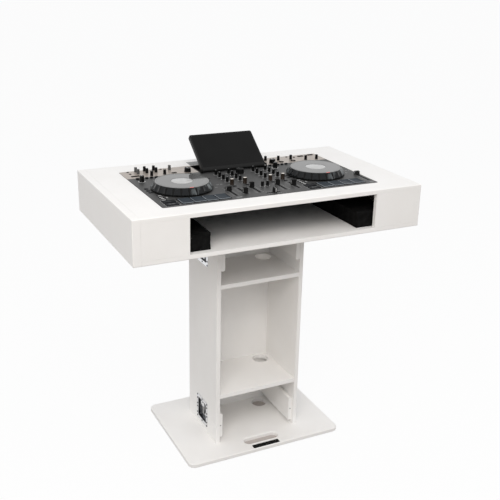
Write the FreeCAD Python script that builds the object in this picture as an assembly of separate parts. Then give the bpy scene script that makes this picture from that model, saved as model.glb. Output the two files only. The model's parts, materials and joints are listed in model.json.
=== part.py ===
# A standing DJ booth: a white knock-down table on a column, with an all-in-one player let into its top.
# Millimetres, +Z up. The player stands on the -Y side, and the origin lies on the floor under the middle.
import FreeCAD, Part
import math
import os

# Boards
board = 15.0
end_board = 26.0
board_edge_radius = 3.0
panel_edge_radius = 2.0
seam_chamfer = 0.8

# Floor plate with its hand slot and the plain black plate in front of it
base_width = 604.0
base_depth = 436.0
base_corner_radius = 24.0
hand_slot_length = 135.0
hand_slot_width = 38.0
hand_slot_setback = 57.0
hand_slot_edge_radius = 4.0
badge_length = 105.0
badge_width = 19.0
badge_thickness = 1.5
badge_setback = 13.5
badge_corner_radius = 3.0

# Column between the two sockets
column_width = 333.0
column_depth = 256.0
back_inset = 7.0
base_socket_height = 70.0
table_socket_height = 94.0
lower_shelf_rise = 126.0
upper_shelf_drop = 91.0
shelf_setback = 1.5
cable_hole_radius = 30.0
cable_hole_from_side = 45.5
cable_hole_from_back = 40.0

# Guide cleats inside the sockets
cleat_gap = 16.0
cleat_edge_radius = 5.0
base_cleat_reach = 42.0
base_cleat_setback = 10.0
table_cleat_reach = 40.0
table_cleat_setback = 1.0

# Table box and its bay
table_width = 1030.0
table_depth = 608.0
table_height = 148.0
table_top_height = 970.0
bay_width = 668.0
foam_gap = 534.0
foam_width = 125.0
foam_right = 9.0
foam_setback = 23.0
foam_back_inset = 17.0
foam_edge_radius = 2.0

# Butterfly latch, let into the boards across a parting line
dish_side_rim = 14.0
dish_end_rim = 13.0
dish_corner_radius = 12.0
dish_sheet = 1.2
recess_clearance = 2.5
recess_corner_radius = 5.0
pocket_skin = 2.3
pocket_clearance = 0.5
cam_rise = 16.0
cam_radius = 10.0
cam_pivot_radius = 3.0
cam_tail = 1.5
keeper_drop = 8.0
keeper_height = 5.0
keeper_width = 14.0
keeper_rise = 3.0
claw_width = 12.0
claw_sheet = 2.0
claw_lip = 3.0
wing_width = 32.0
wing_length = 17.0
wing_sheet = 1.8
wing_corner_radius = 7.5
wing_notch_radius = 4.0
wing_pin_radius = 1.0
knuckle_radius = 1.5
knuckle_length = 11.4
ear_radius = 1.6
ear_width = 2.5

# Player: tray, faceplate and rear panel
player_height = 77.0
tray_nose = 30.0
tray_slope_depth = 110.0
player_front_share = 0.473
player_corner_radius = 5.0
cutout_clearance = 2.0
tray_wall = 3.0
face_thickness = 3.0
strip_depth = 94.0

# Tilting screen and the well that it folds into
screen_width = 246.0
screen_length = 160.0
screen_thickness = 13.0
screen_corner_radius = 6.0
screen_tilt_deg = 37.0
screen_hinge_rise = 7.0
screen_hinge_inset = 16.0
screen_pin_radius = 2.5
screen_side_clearance = 0.6
glass_thickness = 1.5
glass_margin = 6.0
glass_chin = 10.0
screen_back_width = 160.0
screen_back_start = 25.0
screen_back_length = 80.0
screen_back_rise = 7.0
screen_ear_width = 4.4
screen_ear_radius = 7.0
well_depth = 16.0
well_sheet = 2.5

# Deck zones, one each side of the mixer
deck_margin = 28.0
tempo_strip = 42.0
mixer_width = 228.0
deck_rear_gap = 66.0
pad_to_jog = 6.0

# Jog wheels, each on a spindle in a flanged bush
jog_radius = 103.0
jog_taper = 11.5
jog_height = 26.5
jog_label_radius = 35.0
jog_label_step = 0.8
jog_edge = 1.2
jog_skirt = 5.0
jog_wall = 4.5
jog_rim_gap = 2.0
jog_scallops = 24
jog_scallop_radius = 20.0
jog_scallop_depth = 2.2
spindle_radius = 6.0
spindle_drop = 10.0
jog_boss_radius = 14.0
bush_radius = 12.0
bush_flange_radius = 16.0
bush_flange = 2.0

# Mixer columns and rows, the rows counted forward from the screen's well
mixer_column_pitch = 48.0
mixer_columns_right = 8.5
trim_row_inset = 32.0
trim_to_tone = 31.0
tone_row_pitch = 32.0
tone_rows = 3
tone_to_filter = 38.0
effect_knob_inset = 41.0
monitor_knob_pitch = 19.0
monitor_setback = 104.0

# Faders
fader_setback = 77.0
fader_travel = 66.0
fader_rest_shares = (-0.33, 0.46, 0.45, 0.07)
fader_cap_width = 16.0
fader_cap_length = 11.0
fader_cap_height = 17.5
crossfader_setback = 25.0
crossfader_travel = 44.0
crossfader_rest_share = 0.1
tempo_from_jog = 30.0
tempo_setback = 84.0
tempo_travel = 90.0
tempo_rest_shares = (0.19, 0.34)
tempo_cap_width = 18.0
tempo_cap_length = 12.0
tempo_cap_height = 13.0
cap_top_share = 0.72
cap_groove_share = 0.16
stem_width = 1.6
stem_length = 6.0
stem_drop = 8.0
stem_clearance = 0.7

# Knobs
knob_taper_share = 0.92
knob_edge_share = 0.06
pointer_width_share = 0.18
pointer_depth_share = 0.08
shaft_radius = 3.0
shaft_drop = 8.0
tone_knob_radius = 5.4
tone_knob_height = 17.5
filter_knob_radius = 7.2
filter_knob_height = 20.0
effect_knob_radius = 15.0
effect_knob_height = 17.0
deck_knob_radius = 8.5
deck_knob_height = 21.0
deck_knob_left = 95.0
deck_knob_inset = 45.0
browse_knob_radius = 12.0
browse_knob_height = 15.0
browse_knob_gap = 40.0
browse_knobs_right = 5.0
browse_knob_inset = 21.0
rear_knob_radius = 5.4
rear_knob_height = 17.0
rear_left_shares = ((-0.428, 0.87), (-0.387, 0.87), (-0.344, 0.87), (-0.428, 0.58), (-0.387, 0.58),
                    (-0.344, 0.58), (-0.382, 0.17), (-0.320, 0.19), (-0.274, 0.72))
rear_right_shares = ((0.213, 0.68), (0.273, 0.53), (0.338, 0.49), (0.404, 0.24), (0.460, 0.18))

# Buttons and pads
button_width = 42.0
button_depth = 24.0
button_body = 7.0
button_travel = 1.5
button_pressed_rise = 1.0
button_corner_radius = 3.0
button_margin = 17.0
button_front_margin = 11.0
button_gap = 6.0
pad_count = 4
pad_width = 38.0
pad_depth = 52.0
pad_gap = 3.5
pad_front_margin = 17.0
button_to_pads = 13.0
pad_rise = 2.0
pad_corner_radius = 2.5
pad_edge = 0.6

# Clearances
running_clearance = 0.05
loose_clearance = 0.3
overrun = 5.0
touch = 0.01

# Levels, from the floor up
lower_parting = board + base_socket_height
table_bottom = table_top_height - table_height
upper_parting = table_bottom - table_socket_height
lower_shelf_top = lower_parting + lower_shelf_rise
upper_shelf_top = upper_parting - upper_shelf_drop
bay_floor = table_bottom + board
bay_ceiling = table_top_height - board
deck = table_top_height
face_bottom = deck - face_thickness
player_bottom = deck - player_height

# Places across the booth
column_half = column_width / 2
column_inner = column_half - board
column_front = -column_depth / 2
back_panel_back = column_depth / 2 - back_inset
back_panel_front = back_panel_back - board
table_front = -table_depth / 2
table_inner = table_width / 2 - end_board
cable_hole_x = column_inner - cable_hole_from_side
cable_hole_y = back_panel_front - cable_hole_from_back
jog_setback = pad_front_margin + pad_depth + pad_to_jog + jog_radius
strip_setback = jog_setback + jog_radius + deck_rear_gap
player_depth = strip_setback + strip_depth
deck_zone = deck_margin + 2 * jog_radius + tempo_strip
player_width = 2 * deck_zone + mixer_width
deck_lefts = (-player_width / 2, mixer_width / 2)
jog_offset = deck_margin + jog_radius
jog_top_radius = jog_radius - jog_taper
player_front = table_front + (table_depth - player_depth) * player_front_share
player_back = player_front + player_depth
strip_front = player_front + strip_setback
screen_hinge_y = strip_front - screen_hinge_inset
screen_hinge_z = deck + screen_hinge_rise
well_half = screen_width / 2 + screen_side_clearance + screen_ear_width
well_front = screen_hinge_y - screen_ear_radius - loose_clearance
jog_y = player_front + jog_setback

# Places of the controls, from the player's front edge or from the left edge of a deck
well_setback = well_front - player_front
trim_row_setback = well_setback - trim_row_inset
tone_row_setback = trim_row_setback - trim_to_tone
filter_row_setback = tone_row_setback - tone_row_pitch * (tone_rows - 1) - tone_to_filter
effect_knob_setback = well_setback - effect_knob_inset
deck_knob_setback = strip_setback - deck_knob_inset
browse_knob_setback = strip_setback + browse_knob_inset
button_rise = button_pressed_rise + button_travel
play_setback = button_front_margin + button_depth / 2
cue_setback = play_setback + button_depth + button_gap
button_offset = button_margin + button_width / 2
pad_pitch = pad_width + pad_gap
pad_offset = button_margin + button_width + button_to_pads + pad_width / 2
pad_setback = pad_front_margin + pad_depth / 2
tempo_offset = deck_margin + 2 * jog_radius + tempo_from_jog
deck_knob_offset = jog_offset - deck_knob_left

# Levels in the latch, outward from the board's face
recess_depth = board - pocket_skin - cam_tail - pocket_clearance - dish_sheet
pocket_depth = board - pocket_skin
cam_bottom = loose_clearance - recess_depth
claw_bottom = keeper_rise + loose_clearance - recess_depth
cam_top = claw_bottom + claw_sheet
wing_axis = cam_top + knuckle_radius + loose_clearance
keeper_far = keeper_drop + keeper_height
claw_inner_radius = math.hypot(keeper_width / 2, cam_rise + keeper_far) + loose_clearance
claw_outer_radius = claw_inner_radius + claw_lip
claw_sweep = math.hypot(claw_outer_radius, claw_width / 2)
wing_corner_y = wing_width / 2 - wing_corner_radius
wing_corner_z = wing_length - wing_corner_radius
wing_sweep = math.hypot(wing_corner_y, wing_corner_z) + wing_corner_radius
recess_width = 2 * (claw_sweep + recess_clearance)
recess_height = cam_rise + wing_sweep + recess_clearance
dish_width = recess_width + 2 * dish_side_rim
dish_height = recess_height + dish_end_rim

ORIGIN = FreeCAD.Vector(0, 0, 0)
RIGHT = FreeCAD.Vector(1, 0, 0)
BACK = FreeCAD.Vector(0, 1, 0)
UP = FreeCAD.Vector(0, 0, 1)


# Shapes used throughout

def vec(x, y, z):
    return FreeCAD.Vector(x, y, z)


def span(size, middle=0):
    return (middle - size / 2, middle + size / 2)


def block(xs, ys, zs):
    return Part.makeBox(xs[1] - xs[0], ys[1] - ys[0], zs[1] - zs[0], vec(xs[0], ys[0], zs[0]))


def rod(radius, start, axis, length):
    return Part.makeCylinder(radius, length, start, axis)


def mirrored(shape):
    return shape.mirror(ORIGIN, RIGHT)


def edges_along(shape, axis):
    return [e for e in shape.Edges if e.tangentAt(e.FirstParameter).cross(axis).Length < touch]


def edges_on_level(shape, level):
    return [e for e in shape.Edges
            if abs(e.BoundBox.ZMin - level) < touch and abs(e.BoundBox.ZMax - level) < touch]


def rounded_block(xs, ys, zs, radius):
    solid = block(xs, ys, zs)
    return solid.makeFillet(radius, edges_along(solid, UP))


def oblong(length, width, x, y, zs):
    bar = block(span(length - width, x), span(width, y), zs)
    for end in span(length - width, x):
        bar = bar.fuse(rod(width / 2, vec(end, y, zs[0]), UP, zs[1] - zs[0]))
    return bar.removeSplitter()


def drawn_along(points, width):
    outline = Part.makePolygon([vec(-width / 2, y, z) for y, z in points + points[:1]])
    return Part.Face(outline).extrude(vec(width, 0, 0))


def turned(points):
    outline = Part.makePolygon([vec(r, 0, z) for r, z in points + points[:1]])
    return Part.Face(outline).revolve(ORIGIN, UP, 360)


# Floor plate

def make_base_plate():
    slot_y = hand_slot_setback - base_depth / 2
    plate = rounded_block(span(base_width), span(base_depth), (0, board), base_corner_radius)
    plate = plate.makeFillet(board_edge_radius, edges_on_level(plate, 0) + edges_on_level(plate, board))
    through = (-overrun, board + overrun)
    plate = plate.cut(oblong(hand_slot_length, hand_slot_width, 0, slot_y, through))
    rim = [e for e in edges_on_level(plate, board) if abs(e.CenterOfMass.y - slot_y) < hand_slot_width
           and abs(e.CenterOfMass.x) < hand_slot_length]
    plate = plate.makeFillet(hand_slot_edge_radius, rim)
    return plate.cut(cable_hole(0))


def make_badge():
    y = badge_setback - base_depth / 2
    top = board + badge_thickness
    return rounded_block(span(badge_length), span(badge_width, y), (board, top), badge_corner_radius)


def cable_hole(level):
    return rod(cable_hole_radius, vec(cable_hole_x, cable_hole_y, level - overrun), UP, board + 2 * overrun)


# Sockets, column and cleats

def dish_pocket(parting, way):
    wide = recess_width + 2 * (dish_sheet + pocket_clearance)
    tall = recess_height + dish_sheet + pocket_clearance
    zs = sorted((parting - way * overrun, parting + way * tall))
    return block((column_half - pocket_depth, column_half + overrun), span(wide), zs)


def side_board(zs, pockets):
    solid = block((column_inner, column_half), span(column_depth), zs)
    outer = [e for e in edges_along(solid, UP) if e.CenterOfMass.x > column_half - touch]
    solid = solid.makeFillet(panel_edge_radius, outer)
    for parting, way in pockets:
        solid = solid.makeChamfer(seam_chamfer, edges_on_level(solid, parting))
    for parting, way in pockets:
        solid = solid.cut(dish_pocket(parting, way))
    return solid


def back_board(zs):
    return block(span(2 * column_inner), (back_panel_front, back_panel_back), zs)


def make_socket(zs, parting, way):
    right = side_board(zs, [(parting, way)])
    return [mirrored(right), right, back_board(zs)]


def make_shelf(top):
    level = top - board
    shelf = block(span(2 * column_inner), (column_front + shelf_setback, back_panel_front), (level, top))
    return shelf.cut(cable_hole(level))


def make_cleats(zs, front, free_level):
    right = block((column_inner - board, column_inner), (front, back_panel_front), zs)
    lead_in = [e for e in edges_along(right, BACK) if abs(e.CenterOfMass.z - free_level) < touch]
    right = right.makeFillet(cleat_edge_radius, lead_in)
    return [mirrored(right), right]


# Table box

def make_table_end():
    solid = block((table_inner, table_width / 2), span(table_depth), (table_bottom, table_top_height))
    outer = [e for e in solid.Edges if e.BoundBox.XMax > table_inner + touch]
    solid = solid.makeFillet(board_edge_radius, outer)
    seam = [e for e in edges_on_level(solid, table_top_height) if e.BoundBox.XMax < table_inner + touch]
    return solid.makeChamfer(seam_chamfer / 2, seam)


def make_table_sheet(zs, outer_level):
    sheet = block(span(2 * table_inner), span(table_depth), zs)
    long_edges = [e for e in edges_along(sheet, RIGHT) if abs(e.CenterOfMass.z - outer_level) < touch]
    return sheet.makeFillet(board_edge_radius, long_edges)


def make_table_top():
    sheet = make_table_sheet((bay_ceiling, table_top_height), table_top_height)
    ys = (player_front - cutout_clearance, player_back + cutout_clearance)
    zs = (bay_ceiling - overrun, table_top_height + overrun)
    radius = player_corner_radius + cutout_clearance
    return sheet.cut(rounded_block(span(player_width + 2 * cutout_clearance), ys, zs, radius))


def make_table_bottom():
    sheet = make_table_sheet((table_bottom, bay_floor), table_bottom)
    return sheet.cut(cable_hole(table_bottom))


def make_table_back():
    return block(span(2 * table_inner), (-table_front - board, -table_front), (bay_floor, bay_ceiling))


def make_table_front():
    return block((bay_width / 2, table_inner), (table_front, table_front + board), (bay_floor, bay_ceiling))


def make_foam():
    ys = (table_front + foam_setback, player_back - foam_back_inset)
    rails = []
    for middle in span(foam_gap + foam_width, foam_right):
        rail = block(span(foam_width, middle), ys, (bay_floor, player_bottom))
        rails.append(rail.makeFillet(foam_edge_radius, edges_along(rail, UP)))
    return rails


# Butterfly latch: X points out of the board's face, and Z away from the parting line into the cam's half

def tab(width, height, radius, xs):
    solid = block(xs, span(width), (0, height))
    corners = [e for e in edges_along(solid, RIGHT) if e.CenterOfMass.z > height - touch]
    return solid.makeFillet(radius, corners)


def make_dish():
    flange = tab(dish_width, dish_height, dish_corner_radius, (0, dish_sheet))
    pan_width = recess_width + 2 * dish_sheet
    pan_radius = recess_corner_radius + dish_sheet
    pan = tab(pan_width, recess_height + dish_sheet, pan_radius, (-recess_depth - dish_sheet, 0))
    hollow = tab(recess_width, recess_height, recess_corner_radius, (-recess_depth, dish_sheet + overrun))
    return flange.fuse(pan).cut(hollow).removeSplitter()


def make_cam_dish():
    start = vec(-recess_depth - overrun, 0, cam_rise)
    return make_dish().cut(rod(cam_pivot_radius + running_clearance, start, RIGHT, 2 * overrun))


def make_keeper_dish():
    lip = block((-recess_depth, keeper_rise - recess_depth), span(keeper_width), (-keeper_far, -keeper_drop))
    return make_dish().mirror(ORIGIN, UP).fuse(lip)


def cam_ring(radius, xs):
    return rod(radius, vec(xs[0], 0, cam_rise), RIGHT, xs[1] - xs[0])


def make_cam():
    lip_xs = (cam_bottom, cam_top)
    claw_xs = (claw_bottom, cam_top)
    reach = block(lip_xs, span(claw_width), (cam_rise - claw_outer_radius - overrun, cam_rise))
    claw = cam_ring(claw_outer_radius, claw_xs).common(reach)
    lip = cam_ring(claw_outer_radius, lip_xs).cut(cam_ring(claw_inner_radius, lip_xs)).common(reach)
    tail = cam_ring(cam_pivot_radius, (-recess_depth - dish_sheet - cam_tail, cam_bottom))
    ear_start = knuckle_length / 2 + loose_clearance
    ear_zs = span(2 * ear_radius, cam_rise)
    pieces = [claw, lip, tail]
    for ys in ((ear_start, ear_start + ear_width), (-ear_start - ear_width, -ear_start)):
        pieces.append(block((cam_top, wing_axis), ys, ear_zs))
        pieces.append(rod(ear_radius, vec(wing_axis, ys[0], cam_rise), BACK, ear_width))
    pin_ys = span(2 * (ear_start + ear_width))
    pieces.append(rod(wing_pin_radius, vec(wing_axis, pin_ys[0], cam_rise), BACK, pin_ys[1] - pin_ys[0]))
    return cam_ring(cam_radius, lip_xs).fuse(pieces).removeSplitter()


def make_wing():
    xs = span(wing_sheet, wing_axis)
    root = cam_rise + ear_radius + 2 * loose_clearance
    end = cam_rise + wing_length
    leaf = block(xs, span(wing_width), (root, end))
    corners = [e for e in edges_along(leaf, RIGHT) if e.CenterOfMass.z > end - touch]
    leaf = leaf.makeFillet(wing_corner_radius, corners)
    leaf = leaf.cut(rod(wing_notch_radius, vec(xs[0] - overrun, 0, end), RIGHT, 2 * overrun + wing_sheet))
    neck = block(xs, span(knuckle_length), (cam_rise, root))
    start = vec(wing_axis, -knuckle_length / 2, cam_rise)
    knuckle = rod(knuckle_radius, start, BACK, knuckle_length)
    bore = rod(wing_pin_radius + running_clearance, start, BACK, knuckle_length)
    return leaf.fuse([neck, knuckle]).cut(bore).removeSplitter()


def seat_latch(shape, level, side):
    if level == "upper":
        shape = shape.mirror(ORIGIN, UP)
    shape = shape.translated(vec(column_half, 0, lower_parting if level == "lower" else upper_parting))
    return mirrored(shape) if side == "left" else shape


# Player housing

def shaft_hole(x, y):
    return rod(shaft_radius + running_clearance, vec(x, y, face_bottom - overrun), UP,
               face_thickness + 2 * overrun)


def face_cut(xs, ys):
    return block(xs, ys, (face_bottom - overrun, deck + overrun))


def front_rounded(solid, y):
    corners = [e for e in edges_along(solid, UP) if abs(e.CenterOfMass.y - y) < touch
               and abs(e.CenterOfMass.x) > player_width / 2 - touch]
    return solid.makeFillet(player_corner_radius, corners)


def tray_profile(wall, top):
    fall = face_bottom - tray_nose - player_bottom
    rise = wall * math.hypot(tray_slope_depth, fall) / tray_slope_depth
    front = player_front + wall
    back = player_back - wall
    floor = player_bottom + wall
    nose = face_bottom - tray_nose + rise - wall * fall / tray_slope_depth
    knee = player_front + tray_slope_depth * (fall + rise - wall) / fall
    return [(front, top), (front, nose), (knee, floor), (back, floor), (back, top)]


def make_tray():
    tray = drawn_along(tray_profile(0, face_bottom), player_width)
    tray = tray.makeFillet(player_corner_radius, edges_along(tray, UP))
    hollow = drawn_along(tray_profile(tray_wall, face_bottom + overrun), player_width - 2 * tray_wall)
    return tray.cut(hollow)


def mixer_column_places():
    return [mixer_columns_right + mixer_column_pitch * step for step in (-2, -1, 1, 2)]


def slot_cut(x, y, travel, along):
    long_size = travel + stem_length + 2 * stem_clearance
    wide_size = stem_width + 2 * stem_clearance
    if along == "x":
        return face_cut(span(long_size, x), span(wide_size, y))
    return face_cut(span(wide_size, x), span(long_size, y))


def make_faceplate():
    plate = block(span(player_width), (player_front, strip_front), (face_bottom, deck))
    plate = front_rounded(plate, player_front)
    cuts = [face_cut(span(2 * well_half), (well_front, strip_front + overrun))]
    for left in deck_lefts:
        start = vec(left + jog_offset, jog_y, face_bottom - overrun)
        cuts.append(rod(bush_radius + running_clearance, start, UP, face_thickness + 2 * overrun))
        cuts.append(slot_cut(left + tempo_offset, player_front + tempo_setback, tempo_travel, "y"))
        cuts.append(shaft_hole(left + deck_knob_offset, player_front + deck_knob_setback))
        for setback in (cue_setback, play_setback):
            xs = span(button_width + 2 * loose_clearance, left + button_offset)
            cuts.append(face_cut(xs, span(button_depth + 2 * loose_clearance, player_front + setback)))
    for x in mixer_column_places():
        cuts.append(slot_cut(x, player_front + fader_setback, fader_travel, "y"))
        cuts.append(shaft_hole(x, player_front + filter_row_setback))
    cuts.append(slot_cut(0, player_front + crossfader_setback, crossfader_travel, "x"))
    cuts.append(shaft_hole(0, player_front + effect_knob_setback))
    return plate.cut(cuts)


def browse_knob_places():
    return span(2 * (well_half + browse_knob_gap), browse_knobs_right)


def make_rear_panel():
    right = block((well_half, player_width / 2), (strip_front, player_back), (face_bottom, deck))
    right = front_rounded(right, player_back)
    holes = [shaft_hole(x, player_front + browse_knob_setback) for x in browse_knob_places()]
    return [mirrored(right).cut(holes), right.cut(holes)]


# Screen, modelled flat with its hinge along X through the origin, then tilted up

def make_well():
    floor_zs = (deck - well_depth, deck - well_depth + well_sheet)
    back = player_back - tray_wall
    floor = block(span(2 * well_half), (well_front, back), floor_zs)
    front_wall = block(span(2 * well_half), (well_front, well_front + well_sheet), (floor_zs[0], deck))
    back_wall = block(span(2 * well_half), (back - well_sheet, back), (floor_zs[0], deck))
    ledge = block(span(2 * well_half), (back - well_sheet, player_back), (face_bottom, deck))
    pieces = [front_wall, back_wall, ledge]
    for x in (-well_half, well_half - screen_ear_width):
        xs = (x, x + screen_ear_width)
        pieces.append(block(xs, (well_front, back), (floor_zs[0], deck)))
        pieces.append(block(xs, span(2 * screen_ear_radius, screen_hinge_y), (deck, screen_hinge_z)))
        pieces.append(rod(screen_ear_radius, vec(x, screen_hinge_y, screen_hinge_z), RIGHT, screen_ear_width))
    start = vec(-well_half, screen_hinge_y, screen_hinge_z)
    bore = rod(screen_pin_radius + running_clearance, start, RIGHT, 2 * well_half)
    return floor.fuse(pieces).cut(bore).removeSplitter()


def glass_block(zs):
    xs = span(screen_width - 2 * glass_margin)
    return rounded_block(xs, (glass_chin, screen_length - glass_margin), zs, screen_corner_radius / 2)


def make_screen_housing():
    half = screen_thickness / 2
    body = block(span(screen_width), (0, screen_length), (-half, half))
    corners = [e for e in edges_along(body, UP) if e.CenterOfMass.y > screen_length - touch]
    body = body.makeFillet(screen_corner_radius, corners)
    barrel = rod(half, vec(-screen_width / 2, 0, 0), RIGHT, screen_width)
    pin_width = screen_width + 2 * screen_ear_width
    pin = rod(screen_pin_radius, vec(-pin_width / 2, 0, 0), RIGHT, pin_width)
    back_ys = (screen_back_start, screen_back_start + screen_back_length)
    back = rounded_block(span(screen_back_width), back_ys, (-half - screen_back_rise, -half),
                         screen_corner_radius)
    return body.fuse([barrel, pin, back]).cut(glass_block((half - glass_thickness, half + overrun)))


def make_screen_glass():
    half = screen_thickness / 2
    return glass_block((half - glass_thickness, half))


def tilted(shape):
    shape = shape.rotated(ORIGIN, RIGHT, screen_tilt_deg)
    return shape.translated(vec(0, screen_hinge_y, screen_hinge_z))


# Jog wheels and their bushes

def make_bush(x):
    bore = spindle_radius + running_clearance
    ring = turned([(bore, -spindle_drop), (bush_radius, -spindle_drop), (bush_radius, 0),
                   (bush_flange_radius, 0), (bush_flange_radius, bush_flange), (bore, bush_flange)])
    return ring.translated(vec(x, jog_y, deck))


def jog_profile():
    label = jog_height - jog_label_step
    under = jog_height - jog_wall
    seat = bush_flange + loose_clearance
    return [(0, -spindle_drop), (spindle_radius, -spindle_drop), (spindle_radius, seat),
            (jog_boss_radius, seat), (jog_boss_radius, under), (jog_top_radius - jog_wall, under),
            (jog_radius - jog_wall, jog_rim_gap + jog_skirt), (jog_radius - jog_wall, jog_rim_gap),
            (jog_radius, jog_rim_gap), (jog_radius, jog_rim_gap + jog_skirt),
            (jog_top_radius, jog_height - jog_edge), (jog_top_radius - jog_edge, jog_height),
            (jog_label_radius, jog_height), (jog_label_radius, label), (0, label)]


def scallop_cutters():
    foot = vec(jog_radius, 0, jog_rim_gap + jog_skirt)
    head = vec(jog_top_radius, 0, jog_height - jog_edge)
    slope = (head - foot).normalize()
    outward = vec(slope.z, 0, -slope.x)
    start = foot + outward * (jog_scallop_radius - jog_scallop_depth) - slope * jog_height
    cutter = rod(jog_scallop_radius, start, slope, 3 * jog_height)
    return [cutter.rotated(ORIGIN, UP, 360 * turn / jog_scallops) for turn in range(jog_scallops)]


def make_jog(x):
    return turned(jog_profile()).cut(scallop_cutters()).translated(vec(x, jog_y, deck))


# Knobs, faders, buttons and pads

def knob(radius, height, shaft=False):
    top = radius * knob_taper_share
    edge = radius * knob_edge_share
    foot = loose_clearance if shaft else 0
    solid = turned([(0, foot), (radius, foot), (top, height - edge), (top - edge, height), (0, height)])
    width = radius * pointer_width_share
    depth = radius * pointer_depth_share
    solid = solid.cut(block(span(width), (0, radius), (height - depth, height + overrun)))
    if shaft:
        solid = solid.fuse(rod(shaft_radius, vec(0, 0, -shaft_drop), UP, shaft_drop + foot))
    return solid


def on_deck(shape, x, setback):
    return shape.translated(vec(x, player_front + setback, deck))


def make_tone_knobs():
    setbacks = [trim_row_setback] + [tone_row_setback - tone_row_pitch * row for row in range(tone_rows)]
    shape = knob(tone_knob_radius, tone_knob_height)
    knobs = [on_deck(shape, x, setback) for x in mixer_column_places() for setback in setbacks]
    monitors = span(monitor_knob_pitch, mixer_columns_right)
    return knobs + [on_deck(shape, x, monitor_setback) for x in monitors]


def make_rear_knobs():
    shape = knob(rear_knob_radius, rear_knob_height)
    return [on_deck(shape, player_width * along, strip_setback + strip_depth * share)
            for along, share in rear_left_shares + rear_right_shares]


def fader(width, length, height):
    top = length * cap_top_share / 2
    side = [(-length / 2, loose_clearance), (length / 2, loose_clearance), (top, height),
            (0, height * (1 - cap_groove_share)), (-top, height)]
    cap = drawn_along(side, width)
    return cap.fuse(block(span(stem_width), span(stem_length), (-stem_drop, loose_clearance)))


def make_button():
    cap = rounded_block(span(button_width), span(button_depth), (button_rise - button_body, button_rise),
                        button_corner_radius)
    return cap.makeChamfer(pad_edge, edges_on_level(cap, button_rise))


def make_pads():
    pad = rounded_block(span(pad_width), span(pad_depth), (0, pad_rise), pad_corner_radius)
    pad = pad.makeChamfer(pad_edge, edges_on_level(pad, pad_rise))
    return [on_deck(pad, left + pad_offset + pad_pitch * place, pad_setback)
            for left in deck_lefts for place in range(pad_count)]


# The booth's boards

def booth_nodes():
    lower_zs = (board, lower_parting)
    upper_zs = (upper_parting, table_bottom)
    column_zs = (lower_parting, upper_parting)
    panel = side_board(column_zs, [(lower_parting, 1), (upper_parting, -1)])
    low_cleat = (board + cleat_gap, lower_parting + base_cleat_reach)
    high_cleat = (upper_parting - table_cleat_reach, table_bottom - cleat_gap)
    end = make_table_end()
    front = make_table_front()
    return {
        "base_plate": make_base_plate(),
        "base_badge": make_badge(),
        "base_socket": make_socket(lower_zs, lower_parting, -1),
        "base_cleats": make_cleats(low_cleat, column_front + base_cleat_setback, low_cleat[1]),
        "column_left_panel": mirrored(panel),
        "column_right_panel": panel,
        "column_back_panel": back_board(column_zs),
        "column_upper_shelf": make_shelf(upper_shelf_top),
        "column_lower_shelf": make_shelf(lower_shelf_top),
        "table_socket": make_socket(upper_zs, upper_parting, 1),
        "table_cleats": make_cleats(high_cleat, column_front + table_cleat_setback, high_cleat[0]),
        "table_top_board": make_table_top(),
        "table_bottom_board": make_table_bottom(),
        "table_back_board": make_table_back(),
        "table_left_end": mirrored(end),
        "table_right_end": end,
        "table_left_front": mirrored(front),
        "table_right_front": front,
        "foam_rails": make_foam(),
    }


# The four latches

def latch_nodes():
    places = [(level, side) for level in ("lower", "upper") for side in ("left", "right")]
    dishes = []
    nodes = {"latch_dishes": dishes}
    for level, side in places:
        dishes.append(seat_latch(make_cam_dish(), level, side))
        dishes.append(seat_latch(make_keeper_dish(), level, side))
        nodes["latch_cam_%s_%s" % (level, side)] = seat_latch(make_cam(), level, side)
        nodes["latch_wing_%s_%s" % (level, side)] = seat_latch(make_wing(), level, side)
    return nodes


# The player's fixed pieces

def housing_nodes():
    return {
        "player_tray": make_tray(),
        "player_faceplate": make_faceplate(),
        "player_rear_panel": make_rear_panel(),
        "screen_well": make_well(),
        "jog_bushes": [make_bush(left + jog_offset) for left in deck_lefts],
        "tone_knobs": make_tone_knobs(),
        "rear_knobs": make_rear_knobs(),
        "performance_pads": make_pads(),
    }


# The player's moving pieces

def deck_nodes(side, left, tempo_share, browse_x):
    tempo = fader(tempo_cap_width, tempo_cap_length, tempo_cap_height)
    browse = knob(browse_knob_radius, browse_knob_height, True)
    deck_knob = knob(deck_knob_radius, deck_knob_height, True)
    tempo_rest = tempo_setback + tempo_travel * tempo_share
    return {
        "jog_wheel_" + side: make_jog(left + jog_offset),
        "tempo_fader_" + side: on_deck(tempo, left + tempo_offset, tempo_rest),
        "cue_button_" + side: on_deck(make_button(), left + button_offset, cue_setback),
        "play_button_" + side: on_deck(make_button(), left + button_offset, play_setback),
        "deck_knob_" + side: on_deck(deck_knob, left + deck_knob_offset, deck_knob_setback),
        "browse_knob_" + side: on_deck(browse, browse_x, browse_knob_setback),
    }


def mixer_nodes():
    cap = fader(fader_cap_width, fader_cap_length, fader_cap_height)
    filter_knob = knob(filter_knob_radius, filter_knob_height, True)
    effect_knob = knob(effect_knob_radius, effect_knob_height, True)
    cross_x = crossfader_travel * crossfader_rest_share
    nodes = {
        "effect_knob": on_deck(effect_knob, 0, effect_knob_setback),
        "crossfader": on_deck(cap.rotated(ORIGIN, UP, 90), cross_x, crossfader_setback),
    }
    for number, x in enumerate(mixer_column_places()):
        rest = fader_setback + fader_travel * fader_rest_shares[number]
        nodes["channel_fader_%d" % (number + 1)] = on_deck(cap, x, rest)
        nodes["filter_knob_%d" % (number + 1)] = on_deck(filter_knob, x, filter_row_setback)
    return nodes


def player_nodes():
    nodes = housing_nodes()
    nodes["screen_housing"] = tilted(make_screen_housing())
    nodes["screen_glass"] = tilted(make_screen_glass())
    decks = zip(("left", "right"), deck_lefts, tempo_rest_shares, browse_knob_places())
    for side, left, share, browse_x in decks:
        nodes.update(deck_nodes(side, left, share, browse_x))
    nodes.update(mixer_nodes())
    return nodes


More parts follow.
